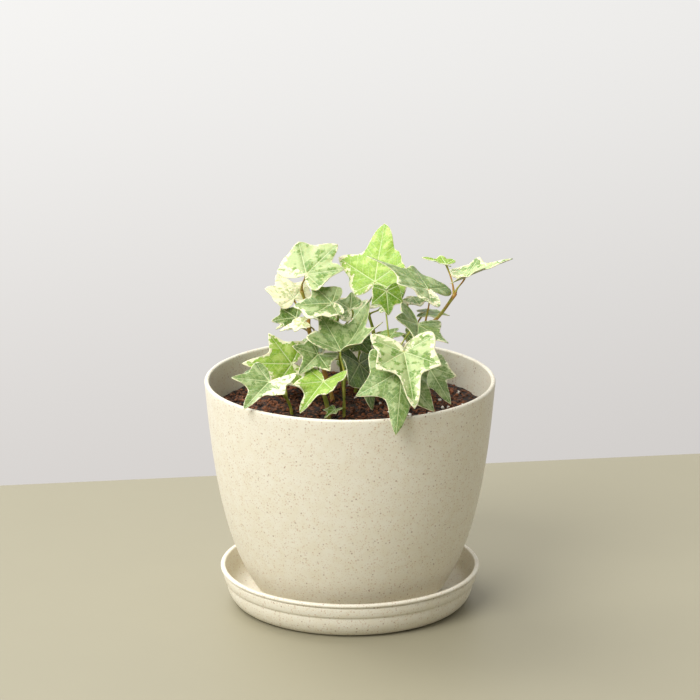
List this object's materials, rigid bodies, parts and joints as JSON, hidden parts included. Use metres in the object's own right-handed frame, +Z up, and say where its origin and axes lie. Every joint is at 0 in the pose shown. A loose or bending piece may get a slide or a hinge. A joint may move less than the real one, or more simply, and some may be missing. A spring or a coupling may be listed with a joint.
{
  "type": "potted ivy",
  "caption": "Variegated ivy with lobed, cream-edged leaves on thin stems, rooted in dark potting mix in a tapered flecked pot that stands in a shallow round saucer.",
  "frame": {"origin": "middle of the saucer's flat underside, on the surface that the pot stands on", "axes": "+Z up the pot's axis; -Y is the front, where the longest leaf hangs over the rim; +X is the side that the long right-hand shoot reaches towards"},
  "size_m": [0.1583, 0.1586, 0.1932],
  "materials": {
    "straw_composite": "warm off-white plant-fibre composite with fine brown flecks, satin",
    "potting_mix": "dark brown peat and bark fibre with white perlite grains",
    "brown_stem": "smooth orange-brown young bark",
    "green_stem": "yellow-green, slightly waxy",
    "grey_leaf": "grey-green, satin, pale veins and a thin cream margin",
    "mottled_leaf": "mid-green marbled with pale green, cream margin, satin",
    "cream_leaf": "cream with olive streaks, satin",
    "dark_leaf": "dull dark green, satin",
    "lime_leaf": "fresh yellow-green with a cream margin, satin",
    "bright_leaf": "saturated mid-green, satin"
  },
  "bodies": {
    "root": {"pot": "straw_composite", "saucer": "straw_composite", "soil": "potting_mix", "vine_left": "brown_stem", "vine_mid_left": "green_stem", "vine_low_left": "green_stem", "vine_far_left": "green_stem", "vine_centre": "green_stem", "vine_tall": "green_stem", "vine_right": "brown_stem", "vine_front_right": "green_stem", "vine_back": "green_stem", "leaf_mottled_high": "mottled_leaf", "leaf_cream_left": "cream_leaf", "leaf_folded_left": "grey_leaf", "leaf_dark_left": "dark_leaf", "leaf_cream_low_left": "cream_leaf", "leaf_olive_left": "lime_leaf", "leaf_dark_mid": "dark_leaf", "leaf_small_bright": "bright_leaf", "leaf_behind_star": "grey_leaf", "leaf_tall_bright": "lime_leaf", "leaf_bright_under": "bright_leaf", "leaf_star_back": "mottled_leaf", "leaf_shade_right": "bright_leaf", "leaf_shade_right_two": "bright_leaf", "leaf_dark_small": "dark_leaf", "leaf_star_centre": "grey_leaf", "leaf_dark_centre": "dark_leaf", "leaf_soil_shoot": "bright_leaf", "leaf_lime_front": "lime_leaf", "leaf_grey_left_mid": "grey_leaf", "leaf_lime_left": "lime_leaf", "leaf_low_left": "grey_leaf", "leaf_left_edge": "dark_leaf", "leaf_grey_right_high": "grey_leaf", "leaf_young_tip": "lime_leaf", "leaf_right_end": "mottled_leaf", "leaf_right_strap": "grey_leaf", "leaf_right_back_edge": "mottled_leaf", "leaf_grey_right": "grey_leaf", "leaf_mottled_front": "mottled_leaf", "leaf_grey_hanging": "grey_leaf", "leaf_grey_behind_right": "grey_leaf", "leaf_back_high": "mottled_leaf", "leaf_back_small_left": "grey_leaf", "leaf_back_left": "mottled_leaf", "leaf_back_mid": "grey_leaf", "leaf_back_right": "lime_leaf", "leaf_back_right_low": "grey_leaf", "leaf_back_low": "bright_leaf", "leaf_back_left_low": "grey_leaf"}
  },
  "joints": []
}
